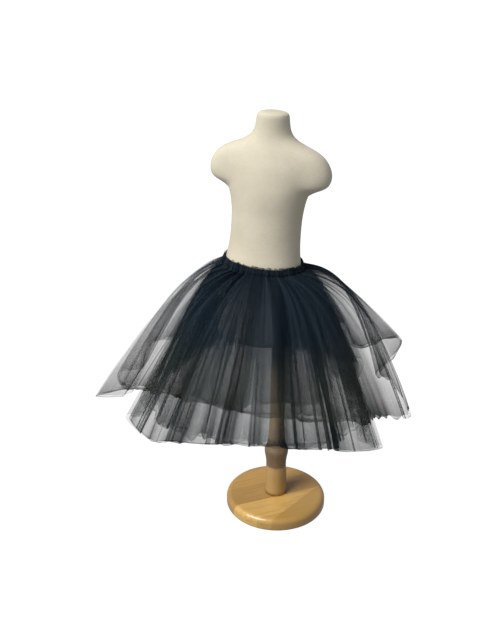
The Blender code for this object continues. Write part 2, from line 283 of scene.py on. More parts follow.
def stave_wood():
    material, shade = new_material("varnished_staves")
    fine, broad = wood_grain(shade, STAVE_TURN, STAVE_GRAIN)
    place = shade.node("TexCoord", pick="Object")
    level = shade.node("Mapping", {"Vector": place, "Rotation": (0.0, 0.0, -math.radians(STAVE_TURN))})
    across = (level.part(1) + STAVE_SHIFT) / STAVE_WIDTH
    stave = across.maths("FLOOR", across)  # -2 at the front, and 2 at the back
    tones = len(SHADED_STAVE_TONES)
    # Each stave's tone carries painted shade for the skirt's shadow on the base.
    tone = shade.node(
        "ValToRGB",
        {"Fac": (stave + 2.5) / tones},
        stops=[(index / tones + 0.001, colour) for index, colour in enumerate(reversed(SHADED_STAVE_TONES))],
    )
    tone.output.node.color_ramp.interpolation = "CONSTANT"
    figured = (broad.between(0.35, 0.75) * 0.45).tint(tone, WOOD_DARK)
    grained = (fine.between(0.52, 0.8) * 0.35).tint(figured, WOOD_DARK)
    slanted = shade.node("Mapping", {"Vector": place, "Rotation": (0.0, 0.0, -math.radians(FLAME_TURN))})
    slant = (slanted.part(1) + FLAME_SHIFT).between(-FLAME_EDGE, FLAME_EDGE)
    flame = (1 - slant) * (1 - across.between(-FLAME_SIDE, 0.0))
    flamed = (flame * 0.9).tint(grained, SHADED_STAVE_TONES[1])
    glued = 1 - (across - stave).between(0.0, GLUE_LINE)
    looks = {
        "Base Color": (glued * 0.6).tint(flamed, WOOD_DARK),
        "Roughness": fine * 0.15 + 0.30,
        "Coat Weight": VARNISH_COAT,
        "Coat Roughness": 0.16,
        "Normal": shade.node("Bump", {"Height": fine, "Strength": 0.12, "Distance": GRAIN_DEPTH}),
    }
    return with_looks(material, looks)


foot_centre = BASE_RADIUS - BASE_FOOT_ROUND
base_profile = rounded(foot_centre, BASE_FOOT_ROUND, BASE_FOOT_ROUND, start=-90, end=0, steps=8)
top_centre, top_height = BASE_RADIUS - BASE_TOP_ROUND, BASE_THICKNESS - BASE_TOP_ROUND
base_profile += rounded(top_centre, top_height, BASE_TOP_ROUND, start=0, end=90, steps=12)
finish_piece(
    "base_disc_wood", *turned(base_profile, BASE_SIDES), stave_wood(), "varnished_wood", "base_disc"
)

# -------------------------------------------------------------------------------------------------
# The post: one turned length of the same wood, with a stout foot that swells and then narrows to a slim
# shaft, which goes up into the form. It is glued into the base. Above the foot, over its swell, the wood
# is painted dark as painted shadow of the skirt. Higher up, the shaft is painted paler than the wood, as
# painted light that makes up for the shade under the skirt.

# One row is (height above the base, radius).
POST_PROFILE = (
    (0.000, 0.0272),
    (0.045, 0.0270),
    (0.066, 0.0266),
    (0.075, 0.0257),
    (0.092, 0.0256),
    (0.108, 0.0276),
    (0.119, 0.0296),
    (0.129, 0.0299),
    (0.137, 0.0264),
    (0.146, 0.0230),
    (0.160, 0.0213),
    (0.185, 0.0203),
    (0.212, 0.0190),
    (0.262, 0.0180),
    (0.330, 0.0168),
)
POST_SIDES = 64
POST_SEAT = 0.0003  # clear of the base, and of the form
FOOT_TOP = 0.116  # heights above the floor where the wood's tone changes, and how gradually
FOOT_FADE = 0.006
BEAD_TOP = 0.184
BEAD_FADE = 0.030
FOOT_TONE = (0.41, 0.255, 0.095)
# Painted shadow of the skirt on the post's swell, above the foot.
BEAD_SHADOW_TONE = (0.152, 0.103, 0.060)
# Paler than the wood is: painted light that makes up for the shade under the skirt.
LIT_SHAFT_TONE = (0.80, 0.60, 0.38)
POST_GRAIN = 30.0
FORM_UNDERSIDE_HEIGHT = 0.482
FORM_OFFSET = 0.0483  # from the post's axis to the middle of the form's underside
FORM_OFFSET_AZIMUTH = -72.0  # azimuths are in degrees: 0 is the front, 90 the form's left
FORM_LEAN = 3.2  # degrees
FORM_LEAN_AZIMUTH = 108.0


def direction(azimuth):
    """The level unit vector at an azimuth in degrees."""
    turn = math.radians(azimuth)
    return Vector((math.sin(turn), -math.cos(turn), 0.0))


def on_curve(before, start, end, after, part):
    """The value part of the way from start to end, on a smooth curve that also passes their neighbours."""
    rise = part * part * (3 - 2 * part)
    leaving = (end - before) / 2 * part * (1 - part) ** 2
    reaching = (after - start) / 2 * part * part * (1 - part)
    return start * (1 - rise) + end * rise + (leaving - reaching)


def smooth_rows(table, steps):
    """A table's rows with this many smooth steps in each gap between them."""
    rows = np.array(table, float)
    padded = np.vstack([2 * rows[0] - rows[1], rows, 2 * rows[-1] - rows[-2]])
    made = []
    for index in range(1, len(rows)):
        for step in range(steps):
            made.append(on_curve(*padded[index - 1 : index + 3], step / steps))
    return np.array([*made, rows[-1]])


def post_wood():
    material, shade = new_material("turned_post_wood")
    fine, broad = wood_grain(shade, None, POST_GRAIN)
    edge = shade.node("TexCoord", pick="Object").part(2) + broad * 0.004
    # Painted shadow of the skirt above the foot, then painted light on the shaft above it.
    tone = edge.between(FOOT_TOP, FOOT_TOP + FOOT_FADE).tint(FOOT_TONE, BEAD_SHADOW_TONE)
    tone = edge.between(BEAD_TOP, BEAD_TOP + BEAD_FADE).tint(tone, LIT_SHAFT_TONE)
    figured = (broad.between(0.35, 0.75) * 0.25).tint(tone, WOOD_DARK)
    looks = {
        "Base Color": (fine.between(0.5, 0.8) * 0.3).tint(figured, WOOD_DARK),
        "Roughness": fine * 0.2 + 0.38,
        "Coat Weight": 0.2,
        "Coat Roughness": 0.3,
        "Normal": shade.node("Bump", {"Height": fine, "Strength": 0.15, "Distance": GRAIN_DEPTH}),
    }
    return with_looks(material, looks)


seat_offset = direction(FORM_OFFSET_AZIMUTH) * FORM_OFFSET
seat = Matrix.Translation((seat_offset.x, seat_offset.y, FORM_UNDERSIDE_HEIGHT)) @ Matrix.Rotation(
    math.radians(FORM_LEAN), 4, Vector((0.0, 0.0, 1.0)).cross(direction(FORM_LEAN_AZIMUTH))
)
underside_slope = seat.to_3x3() @ Vector((0.0, 0.0, 1.0))
foot = BASE_THICKNESS + POST_SEAT
post_rows = [(radius, foot + height) for height, radius in smooth_rows(POST_PROFILE, steps=4)]
post_rows.append((POST_PROFILE[-1][1], FORM_UNDERSIDE_HEIGHT))
post_points, post_faces = turned(post_rows, POST_SIDES)
# The post's end follows the slope of the form's underside.
for index in range(len(post_points) - POST_SIDES, len(post_points)):
    x, y, _ = post_points[index]
    fall = underside_slope.x * (x - seat_offset.x) + underside_slope.y * (y - seat_offset.y)
    post_points[index] = (x, y, FORM_UNDERSIDE_HEIGHT - fall / underside_slope.z - POST_SEAT)
finish_piece("post_wood", post_points, post_faces, post_wood(), "varnished_wood", "post")

# -------------------------------------------------------------------------------------------------
# The dress form: a light moulded child's torso with short shoulder caps and a neck, covered with cream
# stretch cloth that is pulled smooth and closed over the neck. It stands on the post, leaning a little.

# One row is (height, half width, half depth, set back, arm stumps' reach, arm stumps' half depth).
FORM_SECTIONS = (
    (0.000, 0.0870, 0.0730, -0.001, 0.0000, 0.030),
    (0.003, 0.0950, 0.0805, -0.001, 0.0000, 0.030),
    (0.012, 0.0995, 0.0855, -0.002, 0.0000, 0.030),
    (0.038, 0.1010, 0.0865, -0.003, 0.0000, 0.030),
    (0.078, 0.1005, 0.0865, -0.004, 0.0000, 0.030),
    (0.118, 0.0975, 0.0840, -0.006, 0.0000, 0.030),
    (0.158, 0.0920, 0.0790, -0.007, 0.0000, 0.030),
    (0.192, 0.0870, 0.0745, -0.006, 0.0000, 0.030),
    (0.218, 0.0830, 0.0705, -0.004, 0.0000, 0.030),
    (0.245, 0.0810, 0.0690, -0.002, 0.0000, 0.030),
    (0.273, 0.0804, 0.0690, -0.001, 0.0000, 0.030),
    (0.301, 0.0812, 0.0695, 0.000, 0.0000, 0.030),
    (0.329, 0.0850, 0.0705, 0.0000, 0.0300, 0.030),
    (0.345, 0.0892, 0.0706, 0.0001, 0.0700, 0.032),
    (0.353, 0.0920, 0.0705, 0.0003, 0.0930, 0.035),
    (0.361, 0.0948, 0.0702, 0.0005, 0.1085, 0.039),
    (0.368, 0.0972, 0.0698, 0.0008, 0.1230, 0.043),
    (0.375, 0.0994, 0.0692, 0.0011, 0.1325, 0.046),
    (0.385, 0.1018, 0.0682, 0.0014, 0.1372, 0.048),
    (0.398, 0.1040, 0.0664, 0.0017, 0.1380, 0.049),
    (0.411, 0.1045, 0.0640, 0.0016, 0.1346, 0.049),
    (0.424, 0.1022, 0.0600, 0.0009, 0.1275, 0.048),
    (0.437, 0.0960, 0.0548, 0.0000, 0.1150, 0.046),
    (0.449, 0.0850, 0.0492, -0.001, 0.0940, 0.042),
    (0.461, 0.0655, 0.0438, -0.002, 0.0600, 0.036),
    (0.474, 0.0480, 0.0400, -0.003, 0.0200, 0.030),
    (0.488, 0.0400, 0.0375, -0.004, 0.0000, 0.030),
    (0.504, 0.0368, 0.0362, -0.005, 0.0000, 0.030),
    (0.517, 0.0348, 0.0345, -0.006, 0.0000, 0.030),
    (0.523, 0.0300, 0.0300, -0.006, 0.0000, 0.030),
    (0.526, 0.0180, 0.0180, -0.006, 0.0000, 0.030),
)
ARM_SQUARENESS = 2.6  # 2 is an ellipse
ARM_BLEND = 0.012  # how widely the arm stumps run into the chest
ARM_LEAST = 0.001  # a stump that reaches less is inside the chest
FORM_SIDES = 96
CLOTH_CREAM = (0.640, 0.590, 0.470)
CLOTH_SHADE = (0.560, 0.505, 0.395)
WEAVE_DEPTH = 0.0005


def form_cloth():
    material, shade = new_material("cream_stretch_cloth")
    place = shade.node("TexCoord", pick="Object")
    clouds = shade.node("TexNoise", {"Vector": place, "Scale": 11.0, "Detail": 4.0, "Roughness": 0.55})
    level = shade.node("Mapping", {"Vector": place, "Scale": (90.0, 90.0, 520.0)})
    slub = shade.node("TexNoise", {"Vector": level, "Scale": 1.0, "Detail": 2.0})
    upright = shade.node("Mapping", {"Vector": place, "Scale": (620.0, 620.0, 120.0)})
    wale = shade.node("TexNoise", {"Vector": upright, "Scale": 1.0, "Detail": 1.0})
    weave = slub * 0.6 + wale * 0.4
    tone = clouds.between(0.30, 0.72).tint(CLOTH_CREAM, CLOTH_SHADE)
    looks = {
        "Base Color": (weave.between(0.42, 0.66) * 0.5).tint(tone, CLOTH_SHADE),
        "Roughness": weave * 0.15 + 0.78,
        "Sheen Weight": 0.12,
        "Sheen Roughness": 0.5,
        "Normal": shade.node("Bump", {"Height": weave, "Strength": 0.35, "Distance": WEAVE_DEPTH}),
    }
    return with_looks(material, looks)


form_points, form_rows = [], smooth_rows(FORM_SECTIONS, steps=3)
for height, half_width, half_depth, set_back, arm_reach, arm_half_depth in form_rows:
    for side in range(FORM_SIDES):
        turn = 2 * math.pi * side / FORM_SIDES
        across, along = abs(math.cos(turn)), abs(math.sin(turn))
        torso = 1 / math.hypot(across / half_width, along / half_depth)
        arm = 0.0
        if arm_reach > ARM_LEAST:
            lobe = (across / arm_reach) ** ARM_SQUARENESS + (along / arm_half_depth) ** ARM_SQUARENESS
            arm = lobe ** (-1 / ARM_SQUARENESS)
        reach = max(torso, arm) + max(ARM_BLEND - abs(torso - arm), 0.0) ** 2 / (4 * ARM_BLEND)
        point = Vector((reach * math.cos(turn), set_back + reach * math.sin(turn), height))
        form_points.append(seat @ point)
form_faces = closed_rings(len(form_rows), FORM_SIDES)
finish_piece("dress_form_cloth", form_points, form_faces, form_cloth(), "cream_cloth", "dress_form")

# -------------------------------------------------------------------------------------------------
# The waistband: a flat elastic inside a casing of the same net, drawn up into small upright gathers that
# flare out over the layers sewn under it. A wedge-shaped ring is the casing, and Geometry Nodes set the
# pinched rolls of net round it.

BAND_BOTTOM = 0.179  # heights in the form's own frame
BAND_TOP = 0.192
BAND_SLACK = 0.0005  # between the form and the band
BAND_PROFILE = ((0.0, 0.0066), (0.6, 0.0058), (1.0, 0.0034))  # part of the band's height, thickness there
BAND_SLOPE = 21.8  # degrees that its face leans in
BAND_HITCH = 0.0028  # how much higher it has ridden up on one side, and lower on the other
BAND_HITCH_AZIMUTH = -72.0
GATHER_COUNT = 146
GATHER_WIDTH = 0.0012  # half the usual gather's width, and half its height
GATHER_HEIGHT = 0.0058
GATHER_SWELL = 1.22  # the fattest gather, against the usual one
GATHER_SHRINK = 0.76
GATHER_SEED = 7
GATHER_SIDES = 8
GATHER_LEVEL = 0.45  # of the band's height, where the gathers' middles are
PATH_STEP = 3.0  # degrees between the points of the line that they stand on
CASING_COLUMNS = 180
BAND_COLOUR = (0.0045, 0.0078, 0.0120)
BAND_LIGHT = (0.0100, 0.0145, 0.0205)


def form_surface(azimuth, height, proud):
    """Points that stand proud of the form by a level distance, for arrays of azimuths in degrees."""
    heights, *columns = np.array(FORM_SECTIONS).T
    half_width, half_depth, set_back = (np.interp(height, heights, column) for column in columns[:3])
    turn = np.radians(azimuth)
    x, y = np.sin(turn), -np.cos(turn)
    reach = 1 / np.hypot(x / (half_width + proud), y / (half_depth + proud))
    return np.stack([reach * x, set_back + reach * y, np.full_like(reach, height)], -1)


def band_surface(azimuth, height, proud):
    """Points on the band, which has ridden up a little on one side."""
    risen = height + BAND_HITCH * np.cos(np.radians(azimuth - BAND_HITCH_AZIMUTH))
    return form_surface(azimuth, risen, proud)


def seated(points):
    """An array of points of the form's own frame, moved to where the form stands."""
    turn = np.array(seat.to_3x3())
    return points.reshape(-1, 3) @ turn.T + np.array(seat.translation)


def casing_cloth():
    material, shade = new_material("gathered_casing")
    place = shade.node("TexCoord", pick="Object")
    mottle = shade.node("TexNoise", {"Vector": place, "Scale": 420.0, "Detail": 2.0})
    looks = {
        "Base Color": mottle.between(0.4, 0.75).tint(BAND_COLOUR, BAND_LIGHT),
        "Roughness": mottle * 0.2 + 0.7,
        "Sheen Weight": 0.02,
        "Specular IOR Level": 0.2,
        "Normal": shade.node("Bump", {"Height": mottle, "Strength": 0.5, "Distance": WEAVE_DEPTH}),
    }
    return with_looks(material, looks)


def gather_tree(material):
    """Sets a roll at every point of the ring, leaning as the casing does and a little uneven."""
    tree = bpy.data.node_groups.new("gathers_on_the_band", "GeometryNodeTree")
    sockets = tree.interface
    sockets.new_socket("Geometry", in_out="OUTPUT", socket_type="NodeSocketGeometry")
    sockets.new_socket("Geometry", in_out="INPUT", socket_type="NodeSocketGeometry")
    for name, kind, value in (
        ("Gathers", "NodeSocketInt", GATHER_COUNT),
        ("Width", "NodeSocketFloat", GATHER_WIDTH),
        ("Height", "NodeSocketFloat", GATHER_HEIGHT),
        ("Shrink", "NodeSocketFloat", GATHER_SHRINK),
        ("Swell", "NodeSocketFloat", GATHER_SWELL),
        ("Lean", "NodeSocketFloat", math.radians(BAND_SLOPE)),
        ("Seed", "NodeSocketInt", GATHER_SEED),
    ):
        sockets.new_socket(name, in_out="INPUT", socket_type=kind).default_value = value
    nodes, links = tree.nodes, tree.links

    def add(kind, inputs=None, **settings):
        made = nodes.new(kind)
        for name, value in settings.items():
            setattr(made, name, value)
        for name, value in (inputs or {}).items():
            if isinstance(value, bpy.types.NodeSocket):
                links.new(value, made.inputs[name])
            else:
                made.inputs[name].default_value = value
        return made.outputs

    given = add("NodeGroupInput")
    path = add("GeometryNodeMeshToCurve", {0: given["Geometry"]})
    spaced = add("GeometryNodeResampleCurve", {"Curve": path["Curve"], "Count": given["Gathers"]})
    tangent = add("GeometryNodeInputTangent")
    facing = {"Vector": tangent["Tangent"]}
    turned_to = add("FunctionNodeAlignEulerToVector", facing, axis="X", pivot_axis="Z")
    back = add("ShaderNodeMath", {0: given["Lean"], 1: -1.0}, operation="MULTIPLY")
    tilt = add("ShaderNodeCombineXYZ", {"X": back["Value"]})
    leaning = add(
        "FunctionNodeRotateEuler",
        {"Rotation": turned_to["Rotation"], "Rotate By": tilt["Vector"]},
        rotation_type="EULER",
        space="LOCAL",
    )
    rounds = {"Segments": GATHER_SIDES, "Rings": GATHER_SIDES, "Radius": 1.0}
    roll = add("GeometryNodeMeshUVSphere", rounds)
    slim = add("ShaderNodeCombineXYZ", {"X": given["Width"], "Y": given["Width"], "Z": given["Height"]})
    uneven = add(
        "FunctionNodeRandomValue",
        {2: given["Shrink"], 3: given["Swell"], "Seed": given["Seed"]},
        data_type="FLOAT",
    )
    size = add("ShaderNodeVectorMath", {0: slim["Vector"], "Scale": uneven[1]}, operation="SCALE")
    placed = add(
        "GeometryNodeInstanceOnPoints",
        {
            "Points": spaced["Curve"],
            "Instance": roll["Mesh"],
            "Rotation": leaning["Rotation"],
            "Scale": size["Vector"],
        },
    )
    real = add("GeometryNodeRealizeInstances", {"Geometry": placed["Instances"]})
    smooth = add("GeometryNodeSetShadeSmooth", {"Geometry": real["Geometry"]})
    coloured = add("GeometryNodeSetMaterial", {"Geometry": smooth["Geometry"], "Material": material})
    out = nodes.new("NodeGroupOutput")
    links.new(coloured["Geometry"], out.inputs["Geometry"])
    return tree


casing_material = casing_cloth()
band_height = BAND_TOP - BAND_BOTTOM
path_height = BAND_BOTTOM + GATHER_LEVEL * band_height
path_proud = BAND_SLACK + np.interp(GATHER_LEVEL, *zip(*BAND_PROFILE))
path_points = seated(band_surface(np.arange(0, 360, PATH_STEP), path_height, path_proud))
path_edges = [(index, (index + 1) % len(path_points)) for index in range(len(path_points))]
path_mesh = bpy.data.meshes.new("band_path")
path_mesh.from_pydata(path_points.tolist(), path_edges, [])
band_path = bpy.data.objects.new("band_path", path_mesh)
scene.collection.objects.link(band_path)
gathering = band_path.modifiers.new("gathers", "NODES")
gathering.node_group = gather_tree(casing_material)
for item in gathering.node_group.interface.items_tree:
    if item.in_out == "INPUT" and item.name != "Geometry":
        gathering[item.identifier] = item.default_value
bpy.context.view_layer.update()
rolls = bpy.data.meshes.new_from_object(band_path.evaluated_get(bpy.context.evaluated_depsgraph_get()))
band_path.modifiers.clear()
bpy.data.objects.remove(band_path, do_unlink=True)

casing_turns = np.arange(CASING_COLUMNS) * 360 / CASING_COLUMNS
casing_rows = [(BAND_TOP, 0.0)]
casing_rows += [(BAND_BOTTOM + part * band_height, thickness) for part, thickness in reversed(BAND_PROFILE)]
casing_rows.append((BAND_BOTTOM, 0.0))
casing = bmesh.new()
casing.from_mesh(rolls)
rings = []
for height, thickness in casing_rows:
    circle = seated(band_surface(casing_turns, height, BAND_SLACK + thickness))
    rings.append([casing.verts.new(point) for point in circle])
for ring, beside in zip(rings, rings[1:] + rings[:1]):
    for side in range(CASING_COLUMNS):
        after = (side + 1) % CASING_COLUMNS
        face = casing.faces.new((ring[side], beside[side], beside[after], ring[after]))
        face.smooth = True
band_mesh = bpy.data.meshes.new("waistband_gathers")
casing.to_mesh(band_mesh)
casing.free()
band_mesh.materials.clear()
band_mesh.materials.append(casing_material)
waistband = bpy.data.objects.new("waistband_gathers", band_mesh)
scene.collection.objects.link(waistband)
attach(waistband, "root")
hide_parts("waistband")

# -------------------------------------------------------------------------------------------------
# The four net layers: strips of soft nylon net with raw-cut hems, gathered several times round into the
# band, so that each layer hangs as two or three plies in large folds. On these lie narrow pressed folds,
# a few sharp creases, and the fine gathers of the waist, which open out on the way down.

# The mesh of a ply
NET_ROWS = 42
ROW_CROWDING = 1.15  # above 1, the rows stand closer together near the band
EVEN_COLUMNS = 380
COLUMNS_PER_FOLD = 12  # further columns across a pressed fold
COLUMN_STEPS = 16384  # fine steps round a ply, over which its columns are spaced
SPREAD_STEPS = 2880  # fine steps round a layer, over which its cloth is shared out
BELL_AREA = 3.545  # of the further columns' bell curve, 2 * sqrt(pi) of the fold's width

# Where a layer starts at the band, and how it springs out from there
NET_START = 0.0010  # below the band
OUTER_LAYER_PROUD = 0.0080  # outside the form
PLACE_IN = 0.0020  # how much further in and down each next layer starts
PLACE_DOWN = 0.0012
SPRING = 1.6  # how much fuller the net stands near the band
SPRING_FADE = 2
TUCK_UP = 0.0050  # how far the net goes up and in under the casing
TUCK_IN = 0.0012
FRILL_PARTS = (1.34, 1.16, 0.80, 0.40, 0.12)  # of the band's height, from the raw edge down
FRILL_CLEAR = 0.0012  # outside the casing
FRILL_PLY_GAP = 0.0003
FRILL_UNEVEN = 0.0010
FRILL_TOOTH = 5  # columns of one tooth of its raw edge
FRILL_WAVE = 0.0013

# The plies, their gathers and their pressed folds. Places and widths are parts of the way round. A fold
# opens and fades at parts of the way down, or beyond the ply's ends where it runs through.
PLY_GAP = 0.0010  # between plies at the band
PLY_OPENING = 0.0055  # how much wider the gap is at the hem
GATHER_SPREAD = 0.5  # how much their widths differ
GATHER_DEPTHS = (0.4, 1.5)
GATHERS_AT_HEM = 0.06
GATHER_EASE = 1.7  # how soon they open out
GATHER_LIFT = 0.0003  # how far they stand out at the hem
GATHER_LIFT_MORE = 0.0014  # how much further they do at the band
FOLD_STRAY = 0.8  # of the even distance between folds
FOLD_SLANT = 1.3  # of its width
FOLD_SHARPNESS = 0.25  # how much more a narrow fold is pressed
FOLD_LIFT = 0.17  # of its width
OPENS_ABOVE, FADES_BELOW = -0.4, 1.6
OPEN_CHANCE, OPENS_LOW = 0.45, (-0.1, 0.55)
LASTING_CHANCE, FADES_HIGH = 0.7, (0.45, 0.9)
OPENING, FADING = 0.3, 0.25  # how much of the way down each takes
CREASE_FOLD = (0.0010, 0.0, 1.5, OPENS_ABOVE, FADES_BELOW)  # width, slant, press, opens, fades
DRIFT, DRIFT_LOBES = 0.0045, 9  # how far the ply sways aside
DRIFT_STILL = 0.3  # how far down it keeps its place
HEM_LOBES, LOOSE_LOBES = 70, 14  # waves of the raw hem's length, and of its looseness
LIFT_LIMIT = 0.013  # off the large form
ASIDE_STEP, BELOW_STEP = 0.02, 0.01  # short steps along the cloth, for its slope
PACKING_LIMITS = (0.5, 4.0)
LEAST_SHOWN = 0.3  # of the net that stands edge on

# The net and its looks
NET_PITCH = 0.0017  # from one hole of the net to the next
HEM_LINE = 0.0022  # width of the curled raw edge
THREAD = (0.0007, 0.0026, 0.0054)
# The lighter tone of the painted sheen streaks on the close net's gathers.
THREAD_SHEEN_STREAK = (0.0165, 0.0225, 0.0310)
THREAD_LOW = (0.0100, 0.0120, 0.0112)  # low down, where the net is loose
THREAD_WING = (0.0125, 0.0138, 0.0078)  # the same in the outer layer, which stands out in the light
TONE_CHANGE = (0.16, 0.34)  # how far down the close net's tone ends, and the loose net's begins
NET_HAZE = 0.022
NET_SHEEN = (0.55, 0.72, 0.92, 1.0)
NET_SHINE = (0.30, 0.70, 1.0, 1.0)

# The large folds. One row is (crest azimuth, crest reach, crest length, valley reach, valley length, tuck,
# bulge). Reach is level, from the form's axis to the hem, and length is down the cloth. The valley after
# the crest is drawn back under it by its tuck, in degrees.
OUTER_FOLDS = (
    (-47, 0.403, 0.411, 0.350, 0.347, 3, 0.31),
    (-20, 0.368, 0.334, 0.342, 0.318, 2, 0.28),
    (4, 0.358, 0.326, 0.336, 0.318, 5, 0.26),
    (26, 0.358, 0.330, 0.342, 0.330, 4, 0.28),
    (52, 0.376, 0.360, 0.366, 0.367, 0, 0.36),
    (77, 0.391, 0.402, 0.366, 0.396, 0, 0.41),
    (106, 0.336, 0.372, 0.316, 0.370, 0, 0.38),
    (132, 0.415, 0.410, 0.352, 0.400, -2, 0.15),
    (157, 0.385, 0.400, 0.350, 0.395, 4, 0.18),
    (181, 0.372, 0.395, 0.346, 0.390, 5, 0.18),
    (205, 0.370, 0.400, 0.344, 0.395, 4, 0.18),
    (229, 0.362, 0.400, 0.330, 0.395, 3, 0.18),
    (256, 0.346, 0.400, 0.306, 0.395, 0, 0.215),
    (284, 0.340, 0.400, 0.304, 0.386, 0, 0.24),
)
LONG_FOLDS = (
    (-42, 0.334, 0.409, 0.304, 0.425, 1, 0.18),
    (-19, 0.320, 0.402, 0.298, 0.393, 6, 0.18),
    (3, 0.312, 0.375, 0.292, 0.370, 6, 0.18),
    (25, 0.312, 0.369, 0.294, 0.374, 5, 0.20),
    (47, 0.326, 0.388, 0.308, 0.398, 4, 0.22),
    (67, 0.360, 0.425, 0.288, 0.412, 2, 0.26),
    (91, 0.286, 0.405, 0.268, 0.400, 2, 0.22),
    (116, 0.272, 0.395, 0.264, 0.395, 0, 0.16),
    (139, 0.330, 0.405, 0.304, 0.400, 3, 0.14),
    (164, 0.320, 0.400, 0.300, 0.400, 5, 0.14),
    (189, 0.316, 0.400, 0.298, 0.400, 5, 0.14),
    (214, 0.316, 0.400, 0.296, 0.400, 5, 0.14),
    (238, 0.306, 0.405, 0.262, 0.400, 2, 0.14),
    (261, 0.270, 0.400, 0.258, 0.400, 0, 0.14),
    (290, 0.276, 0.405, 0.268, 0.405, 0, 0.16),
)
MIDDLE_FOLDS = (
    (-34, 0.284, 0.385, 0.264, 0.380, 4, 0.13),
    (-10, 0.276, 0.370, 0.260, 0.370, 5, 0.13),
    (14, 0.272, 0.365, 0.258, 0.365, 5, 0.13),
    (36, 0.276, 0.365, 0.262, 0.370, 5, 0.13),
    (58, 0.290, 0.380, 0.262, 0.380, 4, 0.14),
    (80, 0.262, 0.385, 0.242, 0.380, 2, 0.14),
    (104, 0.246, 0.375, 0.238, 0.370, 0, 0.13),
    (127, 0.248, 0.370, 0.244, 0.370, 0, 0.13),
    (150, 0.280, 0.375, 0.264, 0.375, 4, 0.11),
    (176, 0.276, 0.375, 0.262, 0.375, 4, 0.11),
    (202, 0.276, 0.375, 0.264, 0.375, 4, 0.11),
    (226, 0.276, 0.375, 0.256, 0.375, 4, 0.11),
    (250, 0.246, 0.375, 0.238, 0.370, 1, 0.11),
    (274, 0.240, 0.375, 0.234, 0.375, 0, 0.11),
    (300, 0.250, 0.380, 0.252, 0.380, 0, 0.11),
)
SHORT_FOLDS = (
    (-22, 0.218, 0.295, 0.202, 0.295, 5, 0.09),
    (6, 0.212, 0.295, 0.200, 0.280, 6, 0.09),
    (32, 0.210, 0.275, 0.198, 0.280, 6, 0.09),
    (60, 0.216, 0.295, 0.194, 0.300, 4, 0.09),
    (90, 0.192, 0.295, 0.184, 0.295, 2, 0.09),
    (120, 0.186, 0.295, 0.184, 0.295, 1, 0.09),
    (153, 0.212, 0.295, 0.202, 0.295, 5, 0.09),
    (186, 0.212, 0.295, 0.202, 0.295, 6, 0.09),
    (218, 0.212, 0.295, 0.198, 0.295, 5, 0.09),
    (250, 0.190, 0.295, 0.182, 0.295, 2, 0.09),
    (280, 0.184, 0.295, 0.182, 0.295, 0, 0.09),
    (309, 0.196, 0.295, 0.196, 0.295, 2, 0.09),
)


def hem_stations(folds):
    """The crests and valleys of a hem, in order: waist azimuth, hem azimuth, reach, length and bulge."""
    stations = []
    for index, (azimuth, reach, length, valley_reach, valley_length, tuck, bulge) in enumerate(folds):
        gap = (folds[(index + 1) % len(folds)][0] - azimuth) % 360
        valley = azimuth + gap / 2
        stations.append((azimuth, azimuth, reach, length, bulge))
        stations.append((valley, valley - tuck, valley_reach, valley_length, bulge))
    return np.array(stations, float)


def along_hem(stations, places):
    """The stations' values at places counted in stations, on a smooth curve through them."""
    index = np.floor(places).astype(int)
    part = (places - index)[..., None]
    near = []
    for step in (-1, 0, 1, 2):
        laps, position = np.divmod(index + step, len(stations))
        values = stations[position].copy()
        values[..., :2] += 360.0 * laps[..., None]
        near.append(values)
    return on_curve(*near, part)


def hang(stations, place_in, places, parts):
    """Points on a layer's large form, for grids of places round it and parts of the way down it."""
    waist, azimuth, reach, length, bulge = np.moveaxis(along_hem(stations, places), -1, 0)
    start_height = BAND_BOTTOM - NET_START - PLACE_DOWN * place_in
    start = form_surface(waist, start_height, OUTER_LAYER_PROUD - PLACE_IN * place_in)
    start_reach = np.hypot(start[..., 0], start[..., 1])
    spread = reach - start_reach
    fall = np.sqrt(length**2 - spread**2)
    arch = bulge * parts * (1 - parts) * (1 + SPRING * (1 - parts) ** SPRING_FADE)
    start_azimuth = np.degrees(np.arctan2(start[..., 0], -start[..., 1]))
    swing = (azimuth - start_azimuth + 180) % 360 - 180
    turn = np.radians(start_azimuth + swing * parts)
    out = start_reach + spread * (parts + arch)
    return np.stack([out * np.sin(turn), -out * np.cos(turn), start_height - fall * (parts - arch)], -1)


def gathers_of(rng, count):
    """Gathers of uneven width round a ply: their edges as parts of the way round, and how deep each is."""
    widths = np.exp(rng.normal(0.0, GATHER_SPREAD, count))
    return np.concatenate([[0.0], np.cumsum(widths) / widths.sum()]), rng.uniform(*GATHER_DEPTHS, count)


def gather_shift(gathers, around):
    """How far the gathers draw the net aside at each place round the ply, and their lift, from -1 to 1."""
    edges, depth = gathers
    around = around % 1.0
    index = np.clip(np.searchsorted(edges, around, side="right") - 1, 0, len(depth) - 1)
    width = edges[index + 1] - edges[index]
    wave = np.sin(2 * np.pi * (around - edges[index]) / width)
    return wave * depth[index] * width / (2 * np.pi), wave


def folds_of(rng, count, widths, presses):
    """Pressed folds round a ply, one row each: place, width, slant, press, and where it opens and fades."""
    place = (np.arange(count) + rng.uniform(-FOLD_STRAY, FOLD_STRAY, count)) / count
    width = np.exp(rng.uniform(math.log(widths[0]), math.log(widths[1]), count))
    slant = width * rng.uniform(-FOLD_SLANT, FOLD_SLANT, count)
    press = rng.uniform(*presses, count) * (widths[1] / width) ** FOLD_SHARPNESS
    opens = np.where(rng.random(count) < OPEN_CHANCE, OPENS_ABOVE, rng.uniform(*OPENS_LOW, count))
    fades = np.where(rng.random(count) < LASTING_CHANCE, FADES_BELOW, rng.uniform(*FADES_HIGH, count))
    return np.stack([place, width, slant, press, opens, fades], -1)


def smooth_step(value):
    """0 up to 0, 1 from 1 on, and a smooth rise between them."""
    held = np.clip(value, 0, 1)
    return held**2 * (3 - 2 * held)


